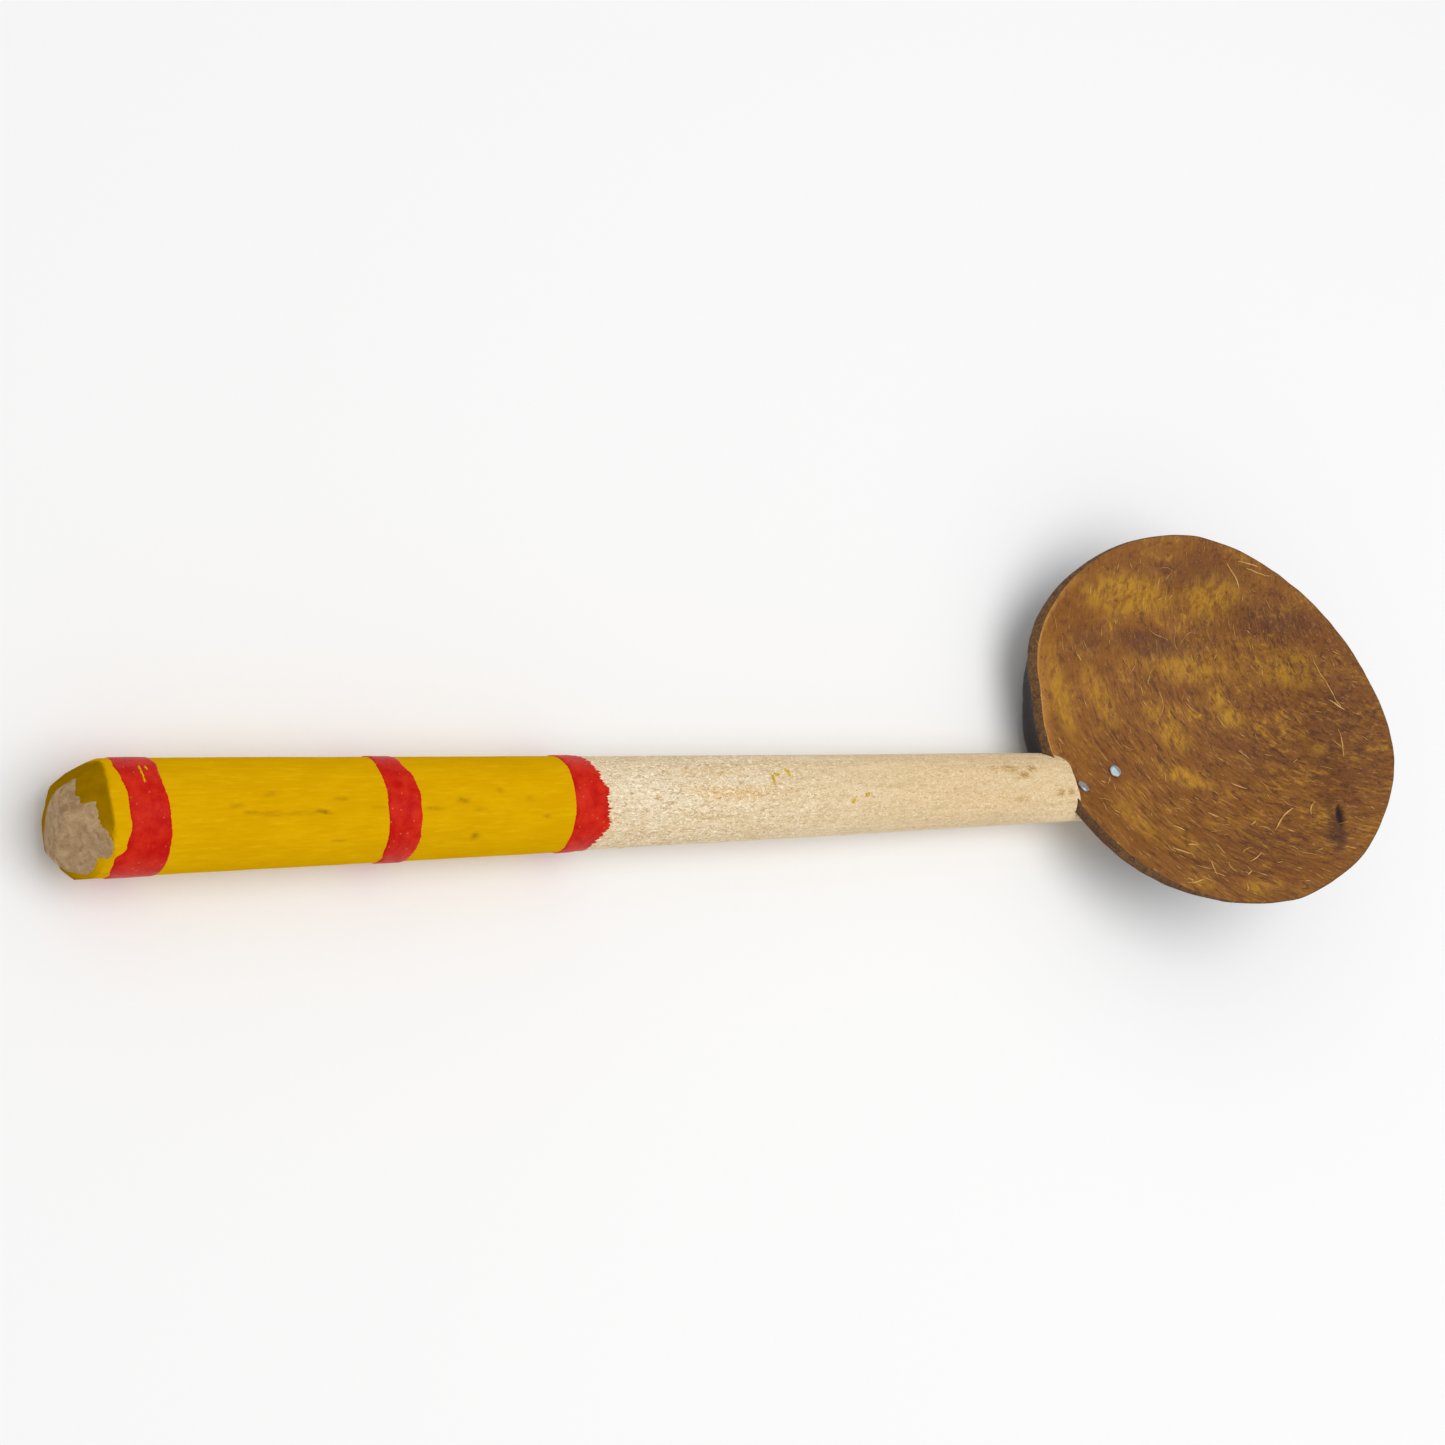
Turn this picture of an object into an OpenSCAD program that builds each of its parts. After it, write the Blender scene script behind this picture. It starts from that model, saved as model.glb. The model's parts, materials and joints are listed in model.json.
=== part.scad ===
// Coconut-shell serving spoon with a painted wooden stick handle.
// The handle is laid out along X with the sawn grip end at x = 0, the bowl is laid out
// in its own rim plane, and rest() then lays the whole spoon down the way it lies on a table.

/* [Handle] */
// Length of the stick from the edge of the grip end to the shoulder at the bowl
handle_len = 248; // [220:1:280]
// Diameter of the stick at the edge of the grip end
grip_d = 23.2; // [21:0.1:25]
// Diameter of the stick at the shoulder
neck_d = 17.4; // [16.4:0.1:19]
// How far the rounded grip end stands past its edge
butt_h = 8; // [5:0.1:9]
// Diameter of the flat sawn face in the middle of the grip end
butt_face_d = 14; // [12:0.1:17]
// Length of the tongue that runs on under the bowl, past the shoulder
tongue_len = 30; // [26:1:33]

/* [Bowl] */
// Longest width of the rim
bowl_long = 104; // [98:0.2:110]
// Width of the rim across the longest one
bowl_short = 90.6; // [86:0.2:100]
// Depth of the bowl, measured outside
bowl_h = 21; // [19:0.5:24]
// Thickness of the shell
shell_t = 3; // [2.4:0.1:3.6]
// Thickness of the thinned lip on the far side of the rim
lip_t = 1.2; // [0.8:0.1:2]
// Angle between the handle and the rim plane
bowl_pitch = 18.6; // [17:0.1:20]
// How far the middle of the bowl lies to the side of the handle's axis
bowl_aside = 12.2; // [11:0.1:13]
// Distance from the shoulder to the middle of the bowl, along the handle
bowl_ahead = 39; // [38:0.1:40]
// Height of the middle of the rim above the handle's axis
bowl_rise = 18.9; // [18:0.1:20]

/* [Nails] */
// Diameter of a nail's domed head
head_d = 3.4; // [3:0.1:4]
// Height of the head's dome
head_h = 0.9; // [0.6:0.1:1.2]
// Diameter of a nail's shank
shank_d = 1.8; // [1.4:0.1:2]
// Length of the shank under the head
shank_len = 6.4; // [6:0.1:7]

/* [Paint] */
// Thickness of one coat of paint
coat_t = 0.2; // [0.15:0.05:0.3]
// Where the yellow coat starts, counted from the edge of the grip end
yellow_start = -4.6; // [-5:0.1:-1]
// Where each red band starts
band_starts = [3.3, 58.4, 102.9];
// How wide each red band is
band_widths = [8.3, 7.0, 8.2];

/* [Hidden] */

$fn = 96;

// Direction of the rim's longest width in the rim plane
long_dir = 135;
// Unevenness of the hand-cut rim: waves round it, height of each wave, direction of a crest
rim_waves = [[3, 0.5, -29], [4, 0.4, -24], [5, 0.25, 0]];
// How much steeper than a parabola the wall is, and how much more on its steep side
steep_all = 0.1;
steep_more = 0.6;
// The steep side, next to the handle: its middle, and its reach away from and towards the handle
steep_dir = 168;
steep_far = 75;
steep_near = 34;
// The belly that stands out low on the steep side: size, middle and reach
belly = 9;
belly_dir = 182;
belly_far = 52;
belly_near = 24;
// The far side of the rim, where the lip is thinned: its middle, half its spread, and where
// along the wall the thinning starts
lip_dir = -10;
lip_half = 125;
lip_from = 0.8;
// Mesh fineness of the shell: steps round the rim and from the lowest point to the rim
around = 72;
rings = 13;

// Gap left round the shell where the handle holds it, how far the kerf goes past the rim,
// and the height that is cleared above the shell
kerf_gap = 0.15;
kerf_past = 1.03;
open_above = 40;

// How much wider and longer a nail's hole is than its shank
hole_wider = 0.04;
hole_longer = 0.2;

// Nail positions: direction from the middle of the bowl, and fraction of the way to the rim
nail_dir = 199.7;
rim_nail_at = 0.835;
inner_nail_at = 0.53;

// Where the yellow coat stops, under the last red band
yellow_end = band_starts[2] + band_widths[2] / 2;

// Pose on a table: turns about X, Y and Z, then the way to the middle of the base
rest_turns = [-2.4, 0.8, 0];
rest_shift = [-163.07, -13.36, 12.24];

// ---------- the stick ----------

// Radius of the stick at a distance from the edge of the grip end
function stick_r(x) = (grip_d + (neck_d - grip_d) * x / handle_len) / 2;

// Rounded grip end: points from the flat face to the edge, as [distance, radius]
butt_steps = 8;
function butt_profile(grow) = [
    for (i = [0:butt_steps])
        let (s = i / butt_steps, a = 90 * s)
        [-butt_h * cos(a), butt_face_d / 2 + (grip_d - butt_face_d) / 2 * sin(a) + grow]
];

// Solid of the whole stick, the tongue included, before it is cut for the bowl
module stick() {
    end_x = handle_len + tongue_len;
    rotate([0, 90, 0])
        rotate_extrude()
            polygon(concat(
                [[0, -butt_h]],
                [for (p = butt_profile(0)) [p[1], p[0]]],
                [[stick_r(end_x), end_x], [0, end_x]]));
}

// Thin sleeve of paint between two distances, on top of a number of earlier coats
module sleeve(from, to, under) {
    low = under * coat_t;
    high = low + coat_t;
    rotate([0, 90, 0])
        rotate_extrude()
            polygon([[stick_r(from) + low, from], [stick_r(to) + low, to],
                     [stick_r(to) + high, to], [stick_r(from) + high, from]]);
}

// ---------- the shell ----------

function sum(list) = list * [for (v = list) 1];

// Distance of the outer rim edge from the middle of the rim, in direction a
function rim_r(a) =
    let (u = cos(a - long_dir) / (bowl_long / 2), v = sin(a - long_dir) / (bowl_short / 2))
    1 / sqrt(u * u + v * v) + sum([for (w = rim_waves) w[1] * cos(w[0] * (a - w[2]))]);

// Difference of two directions, from -180 to 180
function turn(a, b) = (a - b + 540) % 360 - 180;

// Share of something in direction a: 1 in its middle, fading to 0 at its reach on either side
function share(a, middle, far, near) =
    let (d = turn(a, middle), reach = d < 0 ? far : near)
    abs(d) < reach ? pow(cos(90 * d / reach), 2) : 0;

// Height of the outer face as a fraction of the depth, at fraction t of the way to the rim
function rise(a, t) =
    let (k = steep_all + steep_more * share(a, steep_dir, steep_far, steep_near))
    (1 - k) * t * t + k * pow(t, 4);

// Bump along the wall: nothing at the rim and in the middle of the bowl
function bump(t) = t > 1 ? 0 : t < 0.3 ? 0 : pow(sin(180 * pow((t - 0.3) / 0.7, 1.6)), 2);

// A point of the shell's outer face
function outer(a, t) =
    let (r = rim_r(a) * t + belly * share(a, belly_dir, belly_far, belly_near) * bump(t))
    [r * cos(a), r * sin(a), bowl_h * (rise(a, t) - 1)];

// The direction square to the shell's face, towards the inside of the bowl
function inward(a, t) =
    let (s = max(t, 0.02),
         n = cross(outer(a + 0.5, s) - outer(a - 0.5, s), outer(a, s - 0.01) - outer(a, s + 0.01)))
    n / norm(n);

// A point at depth d inside the outer face
function wall(a, t, d) = t == 0 ? [0, 0, d - bowl_h] : outer(a, t) + d * inward(a, t);

// Thickness of the shell, which tapers towards the lip on the far side
function thick(a, t) =
    let (along = max(0, (min(t, 1) - lip_from) / (1 - lip_from)))
    shell_t - (shell_t - lip_t) * share(a, lip_dir, lip_half, lip_half) * along * along;

// Fractions of the way to the rim at which the rings lie, closer together near the rim
function ring_at(i) = pow(i / rings, 0.85);

// Closed block that follows the shell: one point at the bottom of either face, then rings.
// gap is added to both faces, reach is how far it goes, with the rim at 1, and lift raises
// the whole upper face.
module shell_block(gap, reach, lift) {
    up = [0, 0, lift];
    function under(a, t) = wall(a, t, -gap);
    function over(a, t) = wall(a, t, thick(a, t) + gap) + up;
    function t_at(i) = reach * ring_at(i);
    function a_at(j) = j * 360 / around;
    under_rings = [for (i = [1:rings]) for (j = [0:around - 1]) under(a_at(j), t_at(i))];
    over_rings = [for (i = [1:rings]) for (j = [0:around - 1]) over(a_at(j), t_at(i))];
    function lo(i, j) = 2 + (i - 1) * around + j % around;
    function hi(i, j) = rings * around + lo(i, j);
    faces = concat(
        [for (j = [0:around - 1]) [0, lo(1, j), lo(1, j + 1)]],
        [for (j = [0:around - 1]) [1, hi(1, j + 1), hi(1, j)]],
        [for (i = [1:rings - 1]) for (j = [0:around - 1]) [lo(i, j), lo(i + 1, j), lo(i + 1, j + 1)]],
        [for (i = [1:rings - 1]) for (j = [0:around - 1]) [lo(i, j), lo(i + 1, j + 1), lo(i, j + 1)]],
        [for (i = [1:rings - 1]) for (j = [0:around - 1]) [hi(i, j), hi(i + 1, j + 1), hi(i + 1, j)]],
        [for (i = [1:rings - 1]) for (j = [0:around - 1]) [hi(i, j), hi(i, j + 1), hi(i + 1, j + 1)]],
        [for (j = [0:around - 1]) [lo(rings, j), hi(rings, j), hi(rings, j + 1)]],
        [for (j = [0:around - 1]) [lo(rings, j), hi(rings, j + 1), lo(rings, j + 1)]]);
    polyhedron(concat([under(0, 0), over(0, 0)], under_rings, over_rings), faces);
}

// Puts a thing that is laid out in the rim plane where the bowl is on the handle
module at_bowl() {
    translate([handle_len + bowl_ahead, bowl_aside, bowl_rise])
        rotate([0, -bowl_pitch, 0])
            children();
}

// ---------- the nails ----------

// Direction of the wall's inside at a nail, as the two turns that bring +Z onto it
function nail_tilt(t) = let (n = inward(nail_dir, t)) [0, acos(n[2]), atan2(n[1], n[0])];

// Puts a thing at a nail's place: its z = 0 is the inner face of the shell
module at_nail(t) {
    at_bowl()
        translate(wall(nail_dir, t, shell_t))
            rotate(nail_tilt(t))
                children();
}

// One nail with a domed head, a straight shank and a pointed end
module nail() {
    dome_r = (pow(head_d / 2, 2) + pow(head_h, 2)) / (2 * head_h);
    dome_a = asin(head_d / 2 / dome_r);
    steps = 6;
    tip = 1.6;
    rotate_extrude()
        polygon(concat(
            [[0, -shank_len], [shank_d / 2, tip - shank_len], [shank_d / 2, 0], [head_d / 2, 0]],
            [for (i = [1:steps - 1])
                let (a = dome_a * (1 - i / steps))
                [dome_r * sin(a), dome_r * cos(a) - dome_r + head_h]],
            [[0, head_h]]));
}

// Hole that a nail's shank makes
module nail_hole() {
    translate([0, 0, -shank_len - hole_longer])
        cylinder(d = shank_d + hole_wider, h = shank_len + 2 * hole_longer);
}

// ---------- nodes ----------

module rest() {
    translate(rest_shift)
        rotate(rest_turns)
            children();
}

module handle() {
    color("burlywood")
        rest()
            difference() {
                stick();
                at_bowl()
                    shell_block(kerf_gap, kerf_past, 0);
                intersection() {
                    at_bowl()
                        shell_block(kerf_gap, kerf_past, open_above);
                    translate([handle_len, -grip_d, -grip_d])
                        cube([tongue_len + grip_d, 2 * grip_d, 4 * grip_d]);
                }
                at_nail(rim_nail_at)
                    nail_hole();
                at_nail(inner_nail_at)
                    nail_hole();
            }
}

module shell_bowl() {
    color("saddlebrown")
        rest()
            difference() {
                at_bowl()
                    shell_block(0, 1, 0);
                at_nail(rim_nail_at)
                    nail_hole();
                at_nail(inner_nail_at)
                    nail_hole();
            }
}

module rim_nail() {
    color("silver")
        rest()
            at_nail(rim_nail_at)
                nail();
}

module inner_nail() {
    color("silver")
        rest()
            at_nail(inner_nail_at)
                nail();
}

module yellow_coat() {
    color("goldenrod")
        rest()
            union() {
                sleeve(0, yellow_end, 0);
                rotate([0, 90, 0])
                    rotate_extrude()
                        polygon(concat(
                            [for (p = butt_profile(0)) if (p[0] > yellow_start) [p[1], p[0]]],
                            [for (i = [butt_steps:-1:0])
                                let (p = butt_profile(coat_t)[i])
                                if (p[0] > yellow_start) [p[1], p[0]]]));
            }
}

module red_band(i) {
    color("firebrick")
        rest()
            sleeve(band_starts[i], band_starts[i] + band_widths[i], 1);
}

module red_band_butt() {
    red_band(0);
}

module red_band_middle() {
    red_band(1);
}

module red_band_neck() {
    color("firebrick")
        rest()
            union() {
                sleeve(band_starts[2], yellow_end, 1);
                sleeve(yellow_end, band_starts[2] + band_widths[2], 0);
                sleeve(yellow_end, band_starts[2] + band_widths[2], 1);
            }
}

handle();
shell_bowl();
rim_nail();
inner_nail();
yellow_coat();
red_band_butt();
red_band_middle();
red_band_neck();
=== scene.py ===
"""A coconut-shell serving spoon with a painted stick handle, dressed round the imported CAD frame.

Shapes are worked out in millimetres in two frames of the spoon's own: the stick's frame, with X
along the stick from the edge of its grip end and Z towards the bowl's opening, and the bowl's
frame, whose XY plane is the rim. Directions round the stick are counted from +Y towards +Z."""

import json
import math

import bmesh
import bpy
import numpy as np
from mathutils import Matrix, Vector, noise
from mathutils.bvhtree import BVHTree


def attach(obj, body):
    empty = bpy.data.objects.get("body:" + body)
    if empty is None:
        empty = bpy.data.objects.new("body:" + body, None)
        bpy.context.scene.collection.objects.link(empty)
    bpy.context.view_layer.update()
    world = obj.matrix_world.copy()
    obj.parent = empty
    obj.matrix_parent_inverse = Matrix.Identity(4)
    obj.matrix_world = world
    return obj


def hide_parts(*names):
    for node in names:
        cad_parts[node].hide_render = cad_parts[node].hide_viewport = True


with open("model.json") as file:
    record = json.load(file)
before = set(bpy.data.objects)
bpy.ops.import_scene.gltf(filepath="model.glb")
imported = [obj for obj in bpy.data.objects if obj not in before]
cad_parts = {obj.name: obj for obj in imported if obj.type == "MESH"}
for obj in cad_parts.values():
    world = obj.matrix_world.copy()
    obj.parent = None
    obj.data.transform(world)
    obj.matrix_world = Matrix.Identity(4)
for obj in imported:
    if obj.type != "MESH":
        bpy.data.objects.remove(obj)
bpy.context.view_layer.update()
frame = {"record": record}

MM = 0.001

# ---------- sizes, in millimetres, as the CAD model has them ----------

HANDLE_LEN = 248
GRIP_D = 23.2
NECK_D = 17.4
BUTT_H = 8
TONGUE_LEN = 30

BOWL_LONG = 104
BOWL_SHORT = 90.6
BOWL_H = 21
BOWL_PITCH = 18.6
BOWL_AT = (HANDLE_LEN + 39, 12.2, 18.9)
SHELL_T = 3.0
LONG_DIR = 135
RIM_WAVES = [(3, 0.5, -29), (4, 0.4, -24), (5, 0.25, 0)]

HEAD_D = 3.4
HEAD_H = 0.9
SHANK_D = 1.8
SHANK_LEN = 6.4

# How the spoon lies on the table: turned about X and then about Y, in degrees
ROLL = -2.4
PITCH = 0.8


def turned(axis, degrees):
    return Matrix.Rotation(math.radians(degrees), 4, axis)


grip_end = next(m for m in frame["record"]["mounts"] if m["name"] == "grip_end")
SPOON = turned("Y", PITCH) @ turned("X", ROLL)
SPOON.translation = Vector(grip_end["pos_m"]) - BUTT_H * MM * Vector(grip_end["axis"])
BOWL = SPOON @ Matrix.Translation(Vector(BOWL_AT) * MM) @ turned("Y", -BOWL_PITCH)

# ---------- the camera ----------

LENS = 62.28
CAMERA_AT = (-0.3264, -0.0963, 0.4789)
CAMERA_TURN = (14.93, -32.15, -8.84)


def make_camera():
    data = bpy.data.cameras.new("camera")
    data.lens = LENS
    data.sensor_width = 36
    data.clip_start = 0.01
    camera = bpy.data.objects.new("camera", data)
    camera.location = CAMERA_AT
    camera.rotation_euler = [math.radians(t) for t in CAMERA_TURN]
    bpy.context.scene.collection.objects.link(camera)
    bpy.context.scene.camera = camera


make_camera()

# ---------- numbers and noise ----------


def closed_curve(points, at):
    """Smooth closed curve through (degrees, value) points, read at the given degrees."""
    points = sorted((d % 360, v) for d, v in points)
    n = len(points)
    degrees = np.array([points[i % n][0] + 360 * (i // n) for i in range(-2, n + 3)])
    values = np.array([points[i % n][1] for i in range(-2, n + 3)], float)
    at = (np.asarray(at, float) - degrees[2]) % 360 + degrees[2]
    i = np.clip(np.searchsorted(degrees, at, side="right") - 1, 1, len(degrees) - 3)
    d0, d1, d2, d3 = (degrees[i + k] for k in (-1, 0, 1, 2))
    v0, v1, v2, v3 = (values[i + k] for k in (-1, 0, 1, 2))
    gap = d2 - d1
    u = (at - d1) / gap
    m1 = (v2 - v0) / (d2 - d0) * gap
    m2 = (v3 - v1) / (d3 - d1) * gap
    return (
        (2 * u**3 - 3 * u**2 + 1) * v1
        + (u**3 - 2 * u**2 + u) * m1
        + (3 * u**2 - 2 * u**3) * v2
        + (u**3 - u**2) * m2
    )


def closed_line(points, at):
    """Straight stretches through (degrees, value) points, read at the given degrees."""
    degrees, values = zip(*sorted((d % 360, v) for d, v in points))
    return np.interp(np.asarray(at, float) % 360, degrees, values, period=360)


def ripple(degrees, seed, lowest, highest):
    """Closed noise round a turn, about -1 to 1, made of waves from lowest to highest per turn."""
    rng = np.random.default_rng(seed)
    counts = np.arange(lowest, highest + 1)
    phases = rng.uniform(0, 2 * np.pi, len(counts))
    sizes = rng.uniform(0.4, 1, len(counts)) / np.sqrt(counts / lowest)
    total = np.zeros(np.shape(degrees))
    for count, phase, size in zip(counts, phases, sizes):
        total = total + size * np.sin(np.radians(degrees) * count + phase)
    return total / np.sqrt((sizes**2).sum())


def lumps(points, period, seed):
    """Smooth noise in space, about -1 to 1, whose lumps are about period apart."""
    shape = np.shape(points)[:-1]
    shift = Vector((seed * 17.3, seed * 5.1, seed * 9.7))
    flat = np.reshape(points, (-1, 3)) / period
    return np.array([noise.noise(Vector(p) + shift) for p in flat]).reshape(shape)


def smooth_step(x):
    """0 up to 0 and 1 from 1, with a soft rise between."""
    x = np.clip(x, 0, 1)
    return x * x * (3 - 2 * x)


def turn(a, b):
    """The shortest way round from b to a, in degrees."""
    return (a - b + 540) % 360 - 180


def directions(columns):
    """Directions of evenly spaced columns round a full turn, in degrees."""
    return np.arange(columns) * 360 / columns


def share(a, middle, far, near):
    """1 in the middle, fading to 0 at the reach on either side."""
    d = turn(a, middle)
    reach = np.where(d < 0, far, near)
    return np.where(np.abs(d) < reach, np.cos(np.pi / 2 * d / reach) ** 2, 0)


# ---------- meshes ----------


def placed(points, place):
    """Points given in millimetres in a piece's frame, in metres in the shared frame."""
    m = np.array(place)
    return np.asarray(points) * MM @ m[:3, :3].T + m[:3, 3]


def make_mesh(name, points, faces, place):
    """An object whose faces all look outwards."""
    mesh = bpy.data.meshes.new(name)
    mesh.from_pydata(placed(points, place).tolist(), [], [tuple(f) for f in faces])
    mesh.validate()
    bm = bmesh.new()
    bm.from_mesh(mesh)
    bmesh.ops.recalc_face_normals(bm, faces=bm.faces)
    bm.to_mesh(mesh)
    bm.free()
    obj = bpy.data.objects.new(name, mesh)
    bpy.context.scene.collection.objects.link(obj)
    return obj


def keep(obj, name, values):
    """Stores a number or a vector at each vertex, which the materials read by its name."""
    values = np.asarray(values, np.float32)
    kind, field = ("FLOAT", "value") if values.ndim == 1 else ("FLOAT_VECTOR", "vector")
    layer = obj.data.attributes.new(name, kind, "POINT")
    layer.data.foreach_set(field, values.ravel())


def own_places(obj, place):
    """Each vertex's place in its piece's own frame, in millimetres."""
    co = np.zeros(len(obj.data.vertices) * 3, np.float32)
    obj.data.vertices.foreach_get("co", co)
    m = np.array(place.inverted())
    return (co.reshape(-1, 3) @ m[:3, :3].T + m[:3, 3]) / MM


def finish_piece(obj, node, slot, place, *materials):
    """Returns its vertices' own places."""
    own = own_places(obj, place)
    keep(obj, "own", own)
    for material in materials:
        obj.data.materials.append(material)
    obj.data.shade_smooth()
    obj.data.set_sharp_from_angle(angle=math.radians(38))
    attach(obj, "root")
    if node:
        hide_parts(node)
    return own


def grid_faces(rows, columns, start=0, flip=False):
    """Quads of a grid of points whose columns close into a ring."""
    i, j = np.meshgrid(np.arange(rows - 1), np.arange(columns), indexing="ij")
    a = start + i * columns + j
    b = start + i * columns + (j + 1) % columns
    c, d = b + columns, a + columns
    quads = np.stack([a, d, c, b] if flip else [a, b, c, d], -1)
    return quads.reshape(-1, 4).tolist()


def edge_faces(row, rows, columns, flip=False):
    """Quads that join two such grids, one after the other, along one of their rows."""
    a = row * columns + np.arange(columns)
    b = row * columns + np.arange(1, columns + 1) % columns
    quads = np.stack([a, b, b + rows * columns, a + rows * columns], -1)
    return (quads[:, ::-1] if flip else quads).tolist()


def fan(centre, ring, flip=False):
    """Triangles from one point to a ring of points."""
    pairs = zip(ring, ring[1:] + ring[:1])
    return [(centre, b, a) if flip else (centre, a, b) for a, b in pairs]


def closed_rings(rings, first, last):
    """Points and faces of rings of points, closed at both ends round a middle point."""
    rows, columns = rings.shape[:2]
    size = rows * columns
    points = np.concatenate([rings.reshape(-1, 3), [first, last]])
    faces = grid_faces(rows, columns) + fan(size, list(range(columns)), flip=True)
    faces += fan(size + 1, list(range(size - columns, size)))
    return points, faces


def grid_normals(points):
    """Unit normals of a grid of points with closed columns."""
    across = np.roll(points, -1, 1) - np.roll(points, 1, 1)
    along = np.gradient(points, axis=0)
    n = np.cross(along, across)
    return n / np.maximum(np.linalg.norm(n, axis=-1, keepdims=True), 1e-9)


def film_mesh(name, under, thickness, place):
    """Closed coat of paint on a grid of surface points, sunk a little into what it lies on."""
    rows, columns = under.shape[:2]
    n = grid_normals(under)
    outward = under * [0, 1, 1] + [-1e-3, 0, 0]
    n = n * np.sign((n * outward).sum(-1, keepdims=True).mean())
    top = under + n * thickness[..., None]
    bottom = under - n * FILM_SUNK
    points = np.concatenate([top.reshape(-1, 3), bottom.reshape(-1, 3)])
    faces = grid_faces(rows, columns) + grid_faces(rows, columns, rows * columns, flip=True)
    faces += edge_faces(0, rows, columns, flip=True) + edge_faces(rows - 1, rows, columns)
    return make_mesh(name, points, faces, place)


def cut_away(obj, tool, operation="DIFFERENCE"):
    """Cuts obj with tool, or keeps what they share, and removes the tool."""
    cut = obj.modifiers.new("cut", "BOOLEAN")
    cut.operation = operation
    cut.solver = "EXACT"
    cut.object = tool
    bpy.context.view_layer.update()
    evaluated = obj.evaluated_get(bpy.context.evaluated_depsgraph_get())
    mesh = bpy.data.meshes.new_from_object(evaluated)
    obj.modifiers.clear()
    obj.data = mesh
    bpy.data.objects.remove(tool)


# ---------- the stick ----------

STICK_COLUMNS = 192
STICK_STEP = 1.0
DISC_RINGS = 26
EDGE_RINGS = 10
# Past here the rings no longer follow the grip end's edge
STRAIGHT_FROM = 14
# How thick a coat of paint is, and how far it sinks into what it lies on
FILM_T = 0.16
FILM_SUNK = 0.08

# Knife cuts round the grip end: direction, distance from the axis where the cut starts, slope
END_CUTS = [(12, 5.4, 1.5), (58, 6.0, 1.55), (100, 6.7, 1.75), (140, 5.0, 1.35), (186, 6.5, 0.55)]
END_CUTS += [(222, 7.7, 1.95), (262, 6.7, 1.65), (300, 6.7, 1.6), (338, 3.0, 0.3)]
END_CUT_ROUNDING = 0.3
# The wood's surface lies this far inside the CAD model's
STICK_INSET = 0.05
# How far the jaw's lower cheek swells, where it holds the rim
JAW_CHEEK = 1.1


def stick_r(x, degrees):
    """Radius of the stick, with the slight unevenness of hand-planed wood."""
    straight = (GRIP_D + (NECK_D - GRIP_D) * x / HANDLE_LEN) / 2
    a = np.radians(degrees)
    uneven = 0.08 * np.sin(3 * a + x / 31) + 0.06 * np.sin(5 * a - x / 19 + 1)
    cheek = JAW_CHEEK * share(degrees, 155, 55, 32) * smooth_step((x - 230) / 14)
    return straight + uneven * smooth_step((HANDLE_LEN - x) / 30) + cheek - STICK_INSET


def end_x(y, z):
    """Height of the sawn and knife-cut grip end over a point of its disc."""
    flat = np.full(np.shape(y), -float(BUTT_H)) + 0.012 * y - 0.02 * z
    heights = [flat]
    for degrees, start, slope in END_CUTS:
        a = math.radians(degrees)
        heights.append(-BUTT_H + slope * (y * math.cos(a) + z * math.sin(a) - start))
    heights = np.array(heights) / END_CUT_ROUNDING
    top = heights.max(0)
    return END_CUT_ROUNDING * (top + np.log(np.exp(heights - top).sum(0)))


def on_disc(rho, degrees):
    """Points of the grip end's face, at a distance from the axis."""
    a = np.radians(degrees)
    y, z = rho * np.cos(a), rho * np.sin(a)
    return np.stack([end_x(y, z), y, z], -1)


def on_side(x, degrees):
    """Points of the stick's side, at a place along it."""
    a = np.radians(degrees)
    r = stick_r(x, degrees)
    return np.stack(np.broadcast_arrays(x, r * np.cos(a), r * np.sin(a)), -1)


def edge_x(degrees):
    """Where the stick's side starts, next to the grip end."""
    r = stick_r(0, degrees)
    return end_x(r * np.cos(np.radians(degrees)), r * np.sin(np.radians(degrees)))


def make_stick():
    """The whole stick as one closed mesh, before it is opened for the shell."""
    degrees = directions(STICK_COLUMNS)
    rims = stick_r(0, degrees)
    start = edge_x(degrees)
    end = HANDLE_LEN + TONGUE_LEN
    steps = int((end - STRAIGHT_FROM) / STICK_STEP)
    rings = [on_disc(rims * i / DISC_RINGS, degrees) for i in range(1, DISC_RINGS + 1)]
    for i in range(1, EDGE_RINGS + 1):
        rings.append(on_side(start + (STRAIGHT_FROM - start) * i / EDGE_RINGS, degrees))
    for i in range(1, steps + 1):
        rings.append(on_side(STRAIGHT_FROM + (end - STRAIGHT_FROM) * i / steps, degrees))
    rings = np.array(rings)
    rings[:DISC_RINGS, :, 0] += 0.12 * lumps(rings[:DISC_RINGS], 2.5, 3)
    points, faces = closed_rings(rings, [rings[0, :, 0].mean(), 0, 0], [end, 0, 0])
    return make_mesh("handle_wood", points, faces, SPOON)


# ---------- the shell's shape ----------

SHELL_COLUMNS = 540
INSIDE_ROWS = 110
OUTSIDE_ROWS = 60

# Thickness of the rim, thinned to a lip on the far side: direction and thickness
RIM_T = [(180, 2.2), (166, 2.4), (150, 2.5), (136, 2.1), (122, 1.2), (104, 0.6), (60, 0.4), (0, 0.4)]
RIM_T += [(-60, 0.4), (-92, 0.5), (-106, 1.0), (-118, 1.9), (-132, 2.4), (-150, 2.5)]
# Share of the way to the rim from where the wall thins
LIP_FROM = 0.8
# How far the belly by the handle stands out of the plain oval, before it is faded
BELLY = 8.5

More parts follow.
